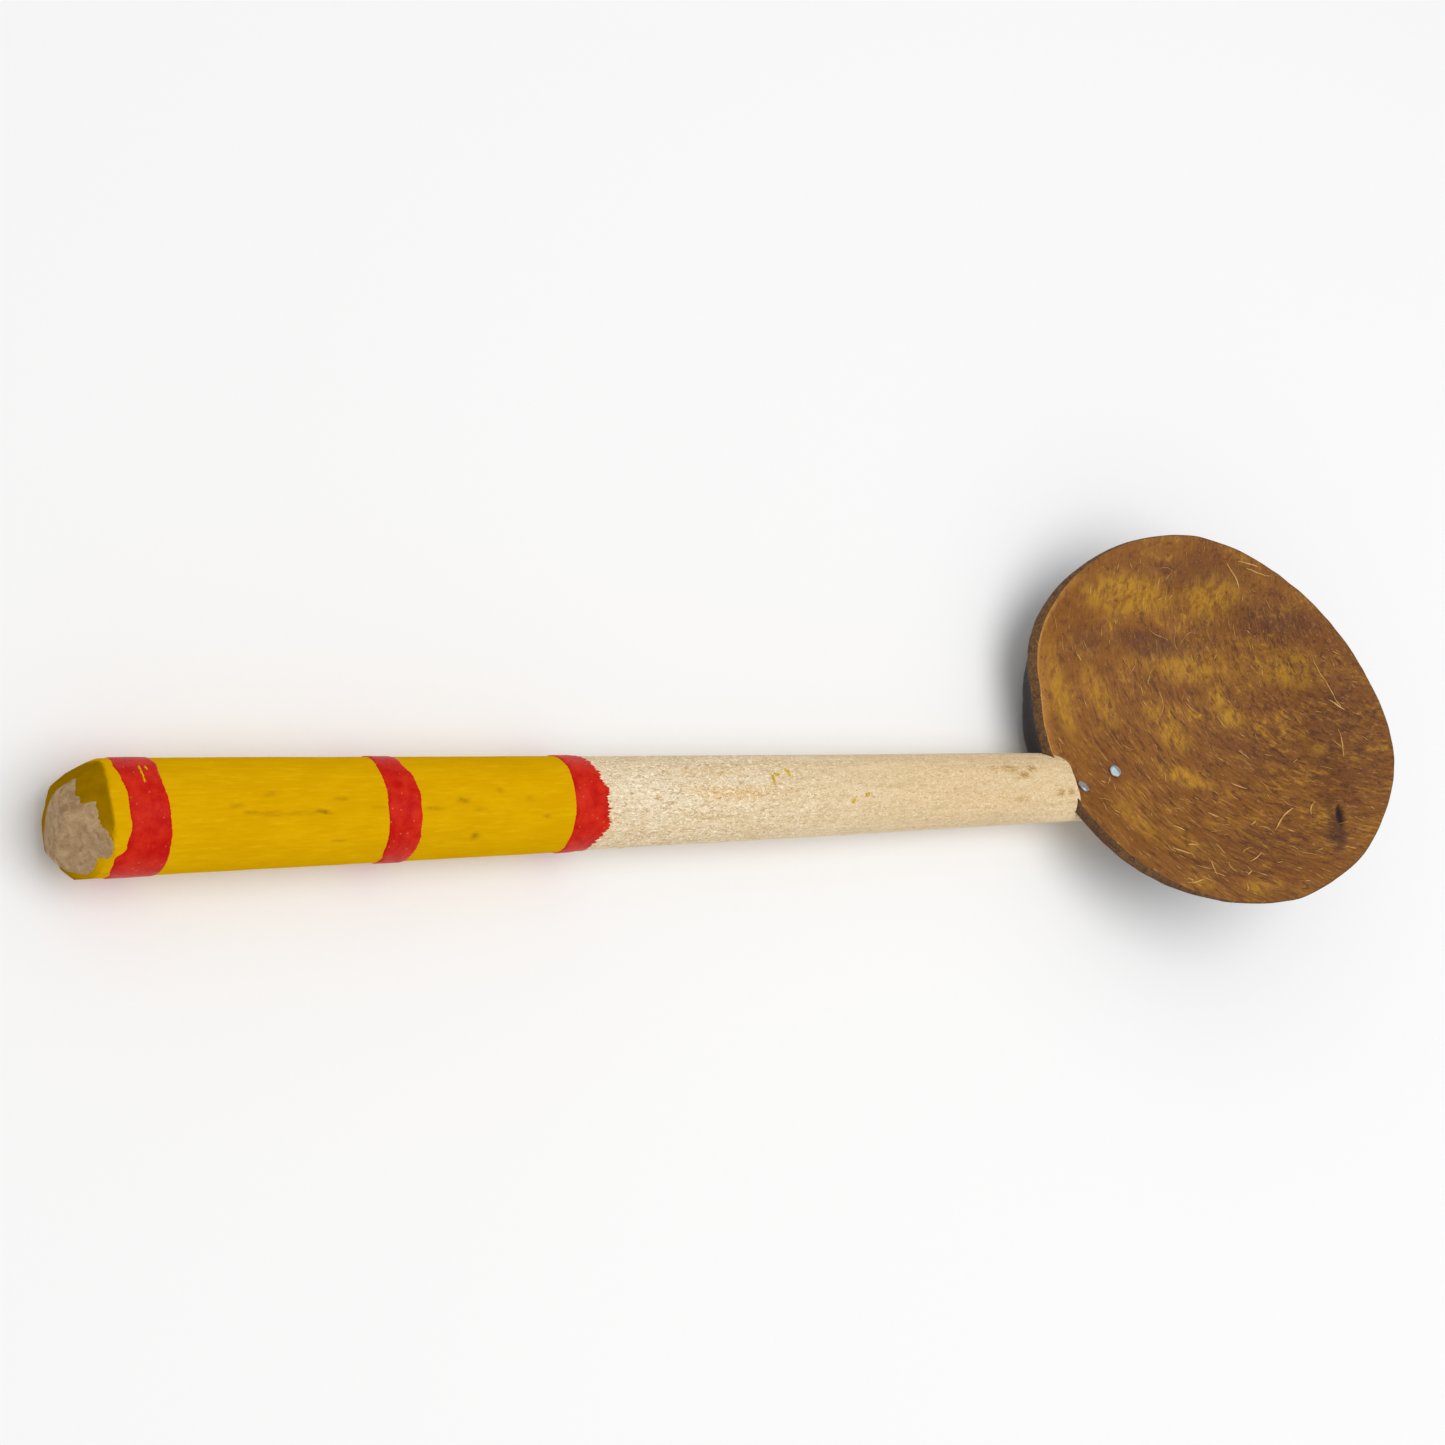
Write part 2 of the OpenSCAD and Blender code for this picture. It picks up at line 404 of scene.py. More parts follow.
# How far the sawn rim stands out of the CAD model's smooth outline: direction and distance
SAWN = [(6, -0.4), (-18, 0.2), (-36, -0.4), (-51, 0.0), (-60, -0.25), (-72, 0.3), (-86, -0.1)]
SAWN += [(-105, -0.3), (-128, -0.4), (-142, -0.6), (-155, -0.4), (-175, -0.2), (176, -0.8)]
SAWN += [(166, -1.3), (158, -0.4), (150, 0.0), (124, -0.4), (113, 0.0), (85, 0.5), (70, 0.0)]
SAWN += [(58, -0.2), (40, 0.3), (26, 0.3)]


def rim_r(a):
    """Distance of the outer rim edge from the middle of the bowl."""
    d = np.radians(a - LONG_DIR)
    r = 1 / np.hypot(np.cos(d) / (BOWL_LONG / 2), np.sin(d) / (BOWL_SHORT / 2))
    for count, size, crest in RIM_WAVES:
        r = r + size * np.cos(np.radians(count * (a - crest)))
    sawn = 0.5 * closed_line(SAWN, a) + 0.5 * closed_curve(SAWN, a)
    return r + sawn + 0.05 * ripple(a, 5, 14, 50)


def rise(a, t):
    """How far the outer face has risen to the rim: steeper at last by the handle."""
    k = 0.1 + 0.6 * share(a, 168, 75, 34)
    return (1 - k) * t**2 + k * t**4


def bump_out(t):
    """The belly's fade from the bottom to the rim, with its crest nearer the rim."""
    low = np.clip((t - 0.3) / 0.7, 0, 1)
    return np.sin(np.pi * low**2) ** 2


def outer(a, t):
    """Points of the shell's outer face."""
    r = rim_r(a) * t + BELLY * share(a, 186, 74, 30) * bump_out(t)
    angle = np.radians(a)
    return np.stack([r * np.cos(angle), r * np.sin(angle), BOWL_H * (rise(a, t) - 1)], -1)


def inward(a, t):
    """Unit directions square to the outer face, towards the inside."""
    s = np.maximum(t, 0.02)
    n = np.cross(outer(a + 0.5, s) - outer(a - 0.5, s), outer(a, s - 0.01) - outer(a, s + 0.01))
    return n / np.linalg.norm(n, axis=-1, keepdims=True)


def thick(a, t):
    """Thickness of the wall."""
    along = np.clip((np.minimum(t, 1) - LIP_FROM) / (1 - LIP_FROM), 0, 1)
    return SHELL_T - (SHELL_T - closed_curve(RIM_T, a)) * along**1.5


def wall(a, t, depth):
    """Points at a depth inside the outer face."""
    return outer(a, t) + np.asarray(depth)[..., None] * inward(a, t)


def shell_block(name, below, above, reach, lift):
    """Closed block that follows the shell's wall, from below its outer face to above its inner
    one. It reaches a little past the rim, and its upper side may be lifted."""
    columns, rows = 144, 26
    a = directions(columns)
    t = reach * (np.arange(1, rows + 1) / rows)[:, None] ** 0.85
    a, t = np.broadcast_arrays(a, t)
    under = wall(a, t, np.full(a.shape, -below))
    over = wall(a, t, thick(a, t) + above) + [0, 0, lift]
    middles = [[0, 0, -BOWL_H - below], [0, 0, SHELL_T + above + lift - BOWL_H]]
    points = np.concatenate([under.reshape(-1, 3), over.reshape(-1, 3), middles])
    size = rows * columns
    faces = grid_faces(rows, columns) + grid_faces(rows, columns, size, flip=True)
    faces += fan(2 * size, list(range(columns)), flip=True)
    faces += fan(2 * size + 1, list(range(size, size + columns)))
    faces += edge_faces(rows - 1, rows, columns)
    return make_mesh(name, points, faces, BOWL)


# ---------- the handle ----------

# Where the jaw stops, over the rim, by direction round the stick
JAW_END = [(20, 244.6), (50, 246.8), (90, 247.2), (125, 248.8), (150, 249.4), (180, 248.2)]
JAW_END += [(270, 247)]
# The kerf's room round the shell, and its reach past the rim as a share of the rim
KERF_GAP = 0.12
KERF_PAST = 1.004
# The stick is open this far above the shell, past the jaw
OPEN_ABOVE = 40
# How far the block that ends the jaw reaches, out and along the stick
FRONT_REACH = 60


def rough_front():
    """A tall block whose near face is the torn end of the jaw."""
    columns, rows = 180, 40
    degrees = directions(columns)
    reach = np.concatenate([np.arange(1, rows) * 0.36, [FRONT_REACH]])[:, None]
    y = reach * np.cos(np.radians(degrees))
    z = reach * np.sin(np.radians(degrees))
    hollow = 0.5 * smooth_step(1 - reach / 9)
    x = closed_curve(JAW_END, degrees) - hollow
    near = np.stack([x, y, z], -1)
    tear = 0.3 * lumps(near * [0.3, 1, 1], 2.2, 8) + 0.12 * lumps(near, 0.7, 9)
    near[..., 0] += np.where(reach < 20, tear, 0)
    far = near[-1:].copy()
    far[..., 0] = HANDLE_LEN + FRONT_REACH
    rings = np.concatenate([near, far])
    points, faces = closed_rings(rings, [x[0].mean(), 0, 0], [HANDLE_LEN + FRONT_REACH, 0, 0])
    return make_mesh("front", points, faces, SPOON)


# Brown specks on the bare wood: place along and round the stick, half sizes, turn and strength
WOOD_SPECKS = [
    (222, 68, 1.0, 0.8, 0, 0.7), (227, 68, 2.4, 0.9, 10, 0.7), (231, 80, 1.2, 0.9, 0, 1.0),
    (234, 69, 1.3, 1.0, 0, 0.9), (230, 118, 2.2, 0.7, 0, 0.5), (242.3, 111, 0.9, 0.9, 0, 1.0),
    (245.6, 110, 0.7, 0.9, 0, 0.9),
]
# Warmer and paler streaks in the wood, given the same way
WARM_STREAKS = [
    (146, 95, 12, 1.6, 2, 1.0),
    (140, 66, 9, 1.0, 0, 0.5),
    (205, 82, 16, 1.2, 0, 0.5),
    (218, 95, 34, 12, 0, 0.5),
    (160, 210, 20, 2.0, 0, 0.7),
    (205, 300, 22, 1.6, 0, 0.7),
]
PALE_STREAKS = [
    (122, 90, 14, 6, 0, 0.8),
    (147, 80, 7, 1.5, 0, 0.8),
    (190, 250, 22, 4, 0, 0.6),
]
# Scuffs on the yellow paint, given the same way
SCUFFS = [
    (25.2, 94, 1.0, 0.5, 0, 0.7), (28, 101, 1.2, 0.4, 0, 0.6), (33, 103.5, 3.4, 0.5, 0, 0.5),
    (32.7, 83, 1.4, 0.5, -20, 0.5), (39, 103.5, 2.6, 0.5, 0, 0.5), (43.6, 102.5, 1.7, 0.45, 15, 1.0),
    (47.8, 90, 1.1, 0.4, 0, 0.8), (48, 135, 1.5, 0.4, 0, 0.6), (56.2, 100, 1.2, 0.4, 0, 0.5),
    (68.9, 103, 2.0, 0.4, 0, 0.6), (75.4, 95, 1.3, 0.6, 20, 0.8), (79.3, 138, 0.9, 1.0, -40, 1.0),
    (79.6, 106, 0.9, 0.5, 0, 0.6), (84.7, 85, 0.8, 0.5, 0, 0.5), (91.8, 95, 0.7, 0.6, 0, 0.4),
    (96.2, 116, 0.8, 0.4, -30, 0.9),
]


def round_stick(own):
    """Where points lie on the stick: along it, and round it in degrees."""
    return own[:, 0], np.degrees(np.arctan2(own[:, 2], own[:, 1])) % 360


def keep_marks(obj, name, own, marks):
    """Stores how strongly a row of marks on the stick shows at each vertex."""
    x, degrees = round_stick(own)
    total = np.zeros(len(own))
    for at, direction, half_x, half_y, angle, strength in marks:
        flat = np.stack([x, np.radians(turn(degrees, direction)) * stick_r(at, direction)], -1)
        total = np.maximum(total, strength * patch(flat, at, 0, half_x, half_y, angle, 1.4))
    keep(obj, name, total)


def make_handle(wood):
    handle = make_stick()
    opened = shell_block("opened", -0.2, KERF_GAP, KERF_PAST, OPEN_ABOVE)
    cut_away(opened, rough_front(), "INTERSECT")
    cut_away(handle, opened)
    cut_away(handle, shell_block("kerf", KERF_GAP, KERF_GAP + 0.05, KERF_PAST, 0))
    own = finish_piece(handle, "handle", "handle_wood", SPOON, wood)
    x, degrees = round_stick(own)
    keep(handle, "on_end", smooth_step((edge_x(degrees) + 0.45 - x) / 0.6))
    keep_marks(handle, "specks", own, WOOD_SPECKS)
    keep_marks(handle, "warm", own, WARM_STREAKS)
    keep_marks(handle, "pale", own, PALE_STREAKS)
    keep(handle, "coarse", 1 - 0.5 * smooth_step((x - 140) / 50))


# ---------- paint ----------

PAINT_COLUMNS = 540
YELLOW_END = 107

# The bare patch on the grip end, round a point of the disc: direction and distance
PATCH_AT = (-3.0, 4.0)
PATCH = [(6, 10.1), (24, 7.0), (47, 6.2), (56, 7.2), (64, 6.6), (80, 5.7), (100, 5.9), (120, 6.4)]
PATCH += [(160, 6.6), (174, 5.8), (202, 8.8), (215, 8.7), (223, 8.2), (240, 9.6), (280, 9.8)]
PATCH += [(315, 9.2), (343, 8.2), (352, 9.3)]
# The paint keeps this far in from the disc's edge, where the patch reaches it
PATCH_MARGIN = 0.2
# Where the plain yellow starts on the side, past the grip end's olive painted shade
END_SHADE_TO = [(0, 0.4), (40, 0.4), (66, -0.1), (80, -0.4), (100, 0.1), (120, 0.4), (180, -1)]
END_SHADE_TO += [(300, 0)]

# Edges of the red bands: direction round the stick and distance along it
BAND_EDGES = {
    "red_band_butt": (
        [(25, 2.8), (57, 2.6), (108, 3.6), (128, 3.3), (136, 3.0), (144, 1.0), (185, 1.7), (270, 3)],
        [(25, 11), (70, 10.9), (118, 11.9), (150, 11.9), (185, 11.5), (270, 11)],
    ),
    "red_band_middle": (
        [(28, 58.2), (104, 58.4), (150, 59), (188, 59.9), (270, 58.6)],
        [(30, 64), (75, 65.4), (110, 66.1), (180, 66.1), (270, 65)],
    ),
    "red_band_neck": (
        [(25, 103.1), (90, 102.9), (154, 103), (185, 103.4), (270, 103)],
        [(27, 109.2), (62, 110.3), (103, 111.4), (132, 111.7), (162, 110.3), (185, 110.2), (270, 110)],
    ),
}
# How ragged each edge is: size of slow waves and of fine ones, in millimetres
BAND_WAVES = {
    "red_band_butt": ((0.22, 0.05), (0.12, 0.05)),
    "red_band_middle": ((0.12, 0.04), (0.15, 0.06)),
    "red_band_neck": ((0.08, 0.04), (0.3, 0.32)),
}
# Rows of points over a coat, as shares of the way, close together where an edge is raised
PATCH_ROWS = [0, 0.02, 0.05, 0.1, 0.18, 0.28, 0.4, 0.52, 0.64, 0.76, 0.88, 0.96]
FIRST_ROWS = [0, 0.04, 0.1, 0.2, 0.35, 0.5, 0.65, 0.8, 1]
HALF_BAND_ROWS = [0, 0.006, 0.016, 0.03, 0.06, 0.14, 0.28, 0.42]
BAND_ROWS = HALF_BAND_ROWS + [1 - u for u in reversed(HALF_BAND_ROWS)]
# The first rows end here, and the evenly spaced ones start a step further on
FIRST_END = 12
EVEN_FROM = 13.5
EVEN_ROWS = 68
# How wide the soft edge of a coat is
EDGE_WIDTH = 0.35


def make_yellow_coat(yellow):
    """The yellow coat, from the bare patch over the grip end's edge and along the stick."""
    turns = directions(PAINT_COLUMNS)
    a = np.radians(turns)
    heading = np.stack([np.cos(a), np.sin(a)], -1)
    along = heading @ PATCH_AT
    rim = GRIP_D / 2 - STICK_INSET
    to_edge = -along + np.sqrt(along**2 + rim**2 - math.hypot(*PATCH_AT) ** 2)
    reach = closed_line(PATCH, turns) + 0.12 * ripple(turns, 11, 7, 48)
    reach = np.minimum(reach, to_edge - PATCH_MARGIN)
    start = PATCH_AT + reach[:, None] * heading
    edge = PATCH_AT + to_edge[:, None] * heading
    degrees = np.degrees(np.arctan2(edge[:, 1], edge[:, 0]))
    rows, thickness = [], []
    for u in PATCH_ROWS:
        p = start + (edge - start) * u
        rows.append(np.stack([end_x(p[:, 0], p[:, 1]), p[:, 0], p[:, 1]], -1))
        gap = np.linalg.norm(p - start, axis=-1)
        thickness.append(FILM_T * smooth_step(gap / EDGE_WIDTH))
    first = edge_x(degrees)
    places = [first + (FIRST_END - first) * u for u in FIRST_ROWS]
    for x in places + list(np.linspace(EVEN_FROM, YELLOW_END, EVEN_ROWS)):
        rows.append(on_side(x, degrees))
        thickness.append(np.full(PAINT_COLUMNS, FILM_T))
    under, thickness = np.array(rows), np.array(thickness)
    thickness = thickness * (1 + 0.3 * lumps(under, 6, 4))
    coat = film_mesh("yellow_paint", under, thickness, SPOON)
    own = finish_piece(coat, "yellow_coat", "yellow_paint", SPOON, yellow)
    x, degrees = round_stick(own)
    painted_shade = smooth_step((closed_line(END_SHADE_TO, degrees) + 0.3 - x) / 0.6)
    # Below the patch the painted shade is mostly left off
    keep(coat, "on_end", painted_shade * (1 - 0.8 * share(degrees, 148, 40, 40) ** 0.5))
    keep_marks(coat, "scuffs", own, SCUFFS)


def make_band(name, red, seed):
    """One red band, brushed over the yellow and, at the neck, over the bare wood."""
    turns = directions(PAINT_COLUMNS)
    edges = []
    for side in (0, 1):
        slow, fine = BAND_WAVES[name][side]
        wave = slow * ripple(turns, seed + side, 4, 18)
        wave += fine * ripple(turns, seed + side + 7, 30, 130)
        edges.append(closed_curve(BAND_EDGES[name][side], turns) + wave)
    rows, thickness = [], []
    for u in BAND_ROWS:
        x = edges[0] + (edges[1] - edges[0]) * u
        on_yellow = 1 - smooth_step((x - YELLOW_END) / 1.5)
        to_edge = np.minimum(x - edges[0], edges[1] - x)
        rows.append(on_side(x, turns))
        thickness.append(FILM_T * on_yellow + 0.02 + FILM_T * smooth_step(to_edge / EDGE_WIDTH))
    under, thickness = np.array(rows), np.array(thickness)
    thickness = thickness * (1 + 0.2 * lumps(under, 3, seed))
    band = film_mesh(name + "_paint", under, thickness, SPOON)
    finish_piece(band, name, "red_paint", SPOON, red)


# Drips of yellow paint: place along and round the stick, half sizes, turn and lift
DRIPS = [
    (7.2, 48, 0.35, 0.8, 0, FILM_T * 2),
    (8.5, 48, 0.3, 0.7, 0, FILM_T * 2),
    (7.2, 57, 0.3, 1.3, 0, FILM_T * 2),
    (7.2, 65, 0.3, 0.5, 0, FILM_T * 2),
    (121, 200, 1.2, 0.8, 0, 0),
]
# Faint traces that the brush left on the bare wood, given the same way
TRACES = [
    (155.9, 78, 1.4, 0.5, 82, 0),
    (157.2, 71, 1.0, 0.45, 15, 0),
    (160.5, 68, 1.4, 0.6, 65, 0),
    (182, 104, 1.0, 0.5, -20, 0),
    (178, 112, 0.6, 0.8, 0, 0),
]


def make_flecks(name, flecks, seed, paint):
    """Small irregular drops of paint, each a thin closed cap on the surface."""
    columns, rings = 28, 5
    points, faces = [], []
    turns = directions(columns)
    for k, (x, degrees, half_x, half_y, angle, lifted) in enumerate(flecks):
        outline = 1 + 0.28 * ripple(turns, seed + k, 2, 9)
        base = len(points)
        for i in range(rings + 1):
            u = 1 - i / rings
            du = half_x * outline * u * np.cos(np.radians(turns))
            dv = half_y * outline * u * np.sin(np.radians(turns))
            lean = math.radians(angle)
            dx = du * math.cos(lean) - dv * math.sin(lean)
            dy = du * math.sin(lean) + dv * math.cos(lean)
            r = stick_r(x + dx, degrees)
            a = np.radians(degrees + np.degrees(dy / r))
            r = r + lifted + 0.14 * smooth_step((1 - u) * 2.5) - (FILM_SUNK if i == 0 else 0)
            points += np.stack([x + dx, r * np.cos(a), r * np.sin(a)], -1).tolist()
        faces += grid_faces(rings + 1, columns, base)
        faces.append(list(range(base, base + columns))[::-1])
    caps = make_mesh(name, np.array(points), faces, SPOON)
    finish_piece(caps, None, "yellow_paint", SPOON, paint)


# ---------- the bowl ----------

# Golden and dark patches inside the bowl: middle, half lengths, turn and strength
GOLD_PATCHES = [
    (-14, 36, 13, 4.5, -5, 0.9), (10, 34, 7, 5, -10, 0.8), (4, 18, 13, 4.5, -15, 0.7),
    (30, 12, 7, 4, -20, 0.8), (11, 9, 2.4, 2.8, 0, 1.0), (-7, 8, 2.4, 3, -40, 0.8),
    (14, 3, 3.2, 2.4, -30, 0.9), (-2, 0, 4.5, 3.2, -40, 0.9), (-2, -11, 7, 2.4, -22, 1.0),
    (33, -9, 1.8, 2.2, -50, 0.7), (-22, 12, 3, 8, 25, 0.7), (-34, 12, 2.6, 12, 12, 0.8),
    (-22, -22, 3, 9, 40, 0.5), (-6, -32, 8, 3, -40, 0.5), (4, -43.5, 3.2, 1.8, -30, 0.8),
    (-9, -40.5, 3.0, 2.0, 0, 0.8),
]
# The first two dark patches darken the right side and the near side of the inside: painted shade
DARK_PATCHES = [
    (38, -4, 9, 22, -5, 0.5), (6, -34, 22, 6, 10, 0.45), (-5, 24, 11, 3, -10, 0.9),
    (26, 25, 10, 4, -20, 0.8), (-26, 26, 6, 3, 10, 0.6), (20, -8, 14, 6, -30, 0.4),
    (30, -32, 2.2, 6, -15, 0.8), (4, 40, 14, 3, -10, 0.5), (-38.5, -27, 12, 3, -55, 0.5),
    (-20.5, -44, 14, 3, -25, 0.8),
]
# A small chip knocked out of the inside and a dark smear below it: middle, half width, half
# length and turn
# The chip's near-black colour is painted shade in its shallow pit
CHIP = (32.6, -27.6, 0.8, 3.0, -10)
CHIP_DEPTH = 0.7
SMEAR = (30.6, -32, 1.9, 4.2, -14)


def patch(places, x, y, half_x, half_y, degrees, soft):
    """Share of an oval patch at places given by X and Y: 1 inside, fading to 0 outside."""
    a = math.radians(degrees)
    dx, dy = places[..., 0] - x, places[..., 1] - y
    u = (dx * math.cos(a) + dy * math.sin(a)) / half_x
    v = (dy * math.cos(a) - dx * math.sin(a)) / half_y
    return 1 - smooth_step((np.hypot(u, v) - 1 + soft * 0.5) / soft)


# The sanding strokes inside the bowl run in arcs of this radius or so round this point
STROKES_ROUND = (70, 39)
STROKES_R = 75


def keep_flow(obj, own):
    """Stores each vertex's place along and across the strokes, in millimetres."""
    dx, dy = own[:, 0] - STROKES_ROUND[0], own[:, 1] - STROKES_ROUND[1]
    reach = np.hypot(dx, dy)
    along = STROKES_R * (np.arctan2(dy, dx) % (2 * np.pi))
    keep(obj, "flow", np.stack([along, reach, 0.4 * own[:, 2]], -1))


def keep_bowl_masks(shell, own):
    """Stores where the shell is golden, dark or darkened as painted shade, chipped, given a painted
    highlight by the rim, and stroked.
    """
    for name, patches in (("gold", GOLD_PATCHES), ("dark", DARK_PATCHES)):
        total = np.zeros(len(own))
        for x, y, half_x, half_y, degrees, strength in patches:
            share_here = patch(own, x, y, half_x, half_y, degrees, 1.2)
            total = np.maximum(total, strength * share_here)
        keep(shell, name, total)
    chip = np.maximum(patch(own, *CHIP, soft=0.8), 0.42 * patch(own, *SMEAR, soft=0.9))
    keep(shell, "chip", chip)
    around = np.degrees(np.arctan2(own[:, 1], own[:, 0]))
    out = np.hypot(own[:, 0], own[:, 1]) / rim_r(around)
    # Painted highlight: a golden strip on the inner wall by the handle, where that wall catches the
    # light, and a fainter broad one beside it
    deep = share(around, 178, 34, 24)
    strip = smooth_step((own[:, 2] + 2.4 + 3.4 * deep) / 1.3)
    strip *= smooth_step((out - 0.93 + 0.08 * deep) / 0.03)
    strip *= share(around, 172, 50, 30) ** 0.5
    faint = 0.62 * smooth_step((out - 0.79) / 0.08) * share(around, 166, 34, 30)
    keep(shell, "rim_painted_highlight", np.maximum(strip, faint))
    stroked = smooth_step((52 - np.hypot(own[:, 0] - 12, own[:, 1] + 10)) / 22)
    keep(shell, "stroked", 0.35 + 0.65 * stroked)


def make_shell(inside, cut, outside):
    """The bowl. Returns a tree of its faces, in millimetres, for what lies on them."""
    columns = SHELL_COLUMNS
    a = directions(columns)
    t_in = (np.arange(1, INSIDE_ROWS + 1) / INSIDE_ROWS)[:, None] ** 0.8
    t_out = (np.arange(1, OUTSIDE_ROWS + 1) / OUTSIDE_ROWS)[:, None] ** 0.8
    inner = wall(*np.broadcast_arrays(a, t_in), thick(a, t_in) + 0 * a)
    uneven = 0.22 * lumps(inner, 9, 1) + 0.09 * lumps(inner, 3, 2)
    pit = CHIP_DEPTH * patch(inner, *CHIP, soft=0.5)
    inner[..., 2] += uneven * smooth_step((1 - t_in) / 0.06) - pit
    outer_face = outer(*np.broadcast_arrays(a, t_out))
    # The sawn edge: from the inner to the outer face, a little uneven, with worn corners
    edge_rows = []
    for u in (0.06, 0.2, 0.4, 0.6, 0.8, 0.94):
        row = inner[-1] + (outer_face[-1] - inner[-1]) * u
        row[:, 2] += 0.12 * math.sin(math.pi * u) + 0.1 * lumps(row, 2.5, 6)
        edge_rows.append(row)
    rings = np.concatenate([inner, np.array(edge_rows), outer_face[::-1]])
    points, faces = closed_rings(rings, [0, 0, inner[0, :, 2].mean()], [0, 0, -BOWL_H])
    shell = make_mesh("shell", points, faces, BOWL)
    ring_of_face = np.arange((len(rings) - 1) * columns) // columns
    material = np.zeros(len(ring_of_face), np.int32)
    material[ring_of_face >= INSIDE_ROWS - 1] = 1
    material[ring_of_face >= INSIDE_ROWS + len(edge_rows)] = 2
    material = np.concatenate([material, np.zeros(columns, int), np.full(columns, 2)])
    own = finish_piece(shell, "shell_bowl", "coconut_shell", BOWL, inside, cut, outside)
    shell.data.polygons.foreach_set("material_index", material.astype(np.int32))
    keep_flow(shell, own)
    keep_bowl_masks(shell, own)
    return BVHTree.FromPolygons(points.tolist(), faces)


# ---------- loose fibres inside the bowl ----------

FIBRE_SIDES = 5
FIBRE_STEP = 0.45
# The inside is looked for from this height, and fibres stop at this share of the rim
LOOK_FROM = 8
FIBRES_TO = 0.97
# Fibres that stand out: start, heading in degrees, length, curl in degrees per millimetre
CLEAR_FIBRES = [
    (14, 41, -60, 8, -3), (19, 39, -30, 13, -0.5), (30, 33, -48, 18, -1.2),
    (34, 15, -70, 16, -0.6), (26.5, -26, 80, 4.6, -12), (16.4, -28.7, 46, 9, -5),
    (6.1, -36.3, 17, 5.5, 4), (-4.9, -34.1, -88, 6, -8), (-8.7, -29.8, -8, 3.5, -15),
    (-0.6, -30.3, -68, 3.6, -2), (0.2, -35.8, -130, 4.4, 30), (3.5, -39.9, 25, 2.6, 0),
    (2, -42.2, -84, 3, -20), (2.5, -44.6, -45, 2, 0), (19.6, -29.1, -33, 1.6, 0),
    (11.2, -26.2, 25, 2.4, 0), (-10.4, -24.2, -19, 3.6, -4), (-14.1, -30.6, -22, 6, 0),
    (1.2, -21.4, -38, 3.6, 2), (35.9, -28.5, -70, 3, 35), (31.1, -35.8, -35, 3.4, 11),
    (-14.9, -40.4, -11, 6, 3), (38, -5, -79, 8, -1), (-26, -2, -66, 4.5, -1),
    (10, -13.9, -48, 5.1, 0), (-28, 23, -54, 3, 0), (37, 3, -48, 5, 1),
    (17, 41, -19, 7, -1),
]
LOOSE_FIBRES = 210


def fibre_path(rng, tree, x, y, heading, length, curl):
    """Points that follow the inside of the bowl, with a slight wander."""
    path = []
    lift = rng.uniform(0.0, 0.12)
    for _ in range(max(4, int(length / FIBRE_STEP))):
        hit = tree.ray_cast(Vector((x, y, LOOK_FROM)), Vector((0, 0, -1)))[0]
        if hit is None or math.hypot(x, y) > FIBRES_TO * rim_r(math.degrees(math.atan2(y, x))):
            break
        path.append((x, y, hit.z + 0.05 + lift * math.sin(len(path) * 0.5) ** 2))
        x += FIBRE_STEP * math.cos(math.radians(heading))
        y += FIBRE_STEP * math.sin(math.radians(heading))
        heading += FIBRE_STEP * (curl + rng.normal(0, 9))
    return np.array(path)


def tube(path, radius, start):
    """A thin tube with pointed ends along a path: its points and faces."""
    n = len(path)
    along = np.gradient(path, axis=0)
    along /= np.linalg.norm(along, axis=1, keepdims=True)
    side = np.cross(along, [0, 0, 1])
    side /= np.linalg.norm(side, axis=1, keepdims=True)
    up = np.cross(side, along)
    taper = np.sin(np.pi * np.linspace(0.06, 0.94, n)) ** 0.5
    turns = np.arange(FIBRE_SIDES) * 2 * np.pi / FIBRE_SIDES
    wide = np.cos(turns)[None, :, None] * side[:, None]
    high = 0.7 * np.sin(turns)[None, :, None] * up[:, None]
    rings = path[:, None] + radius * taper[:, None, None] * (wide + high)
    faces = grid_faces(n, FIBRE_SIDES, start)
    faces.append(list(range(start, start + FIBRE_SIDES))[::-1])
    last = start + (n - 1) * FIBRE_SIDES
    faces.append(list(range(last, last + FIBRE_SIDES)))
    return rings.reshape(-1, 3), faces


def make_fibres(tree, material):
    rng = np.random.default_rng(21)
    wanted = [(*f, rng.uniform(0.13, 0.22)) for f in CLEAR_FIBRES]
    for _ in range(LOOSE_FIBRES):
        a = rng.uniform(0, 360)
        r = rim_r(a) * math.sqrt(rng.uniform(0.02, 0.92))
        x, y = r * math.cos(math.radians(a)), r * math.sin(math.radians(a))
        across = math.degrees(math.atan2(y - STROKES_ROUND[1], x - STROKES_ROUND[0]))
        heading = across + 90 + rng.normal(0, 26) + (180 if rng.random() < 0.5 else 0)
        length, curl, radius = rng.gamma(1.6, 1.0) + 1.0, rng.normal(0, 7), rng.uniform(0.05, 0.12)
        wanted.append((x, y, heading, length, curl, radius))
    points, faces, count = [], [], 0
    for x, y, heading, length, curl, radius in wanted:
        path = fibre_path(rng, tree, x, y, heading, length, curl)
        if len(path) < 4:
            continue
        ring_points, ring_faces = tube(path, radius, count)
        points.append(ring_points)
        faces += ring_faces
        count += len(ring_points)
    fibres = make_mesh("shell_fibres", np.concatenate(points), faces, BOWL)
    finish_piece(fibres, None, "coconut_shell", BOWL, material)


# ---------- nails ----------

# Where each nail goes through the wall: direction, share of the way to the rim, and how far it
# leans from square towards the bowl's far end. The CAD model's nails are square to its wall
# and up to 3 mm from here.
NAILS = {"rim_nail": (201.2, 0.752, 16), "inner_nail": (200.8, 0.545, 0)}
NAIL_COLUMNS = 48
HEAD_EDGE = 0.26


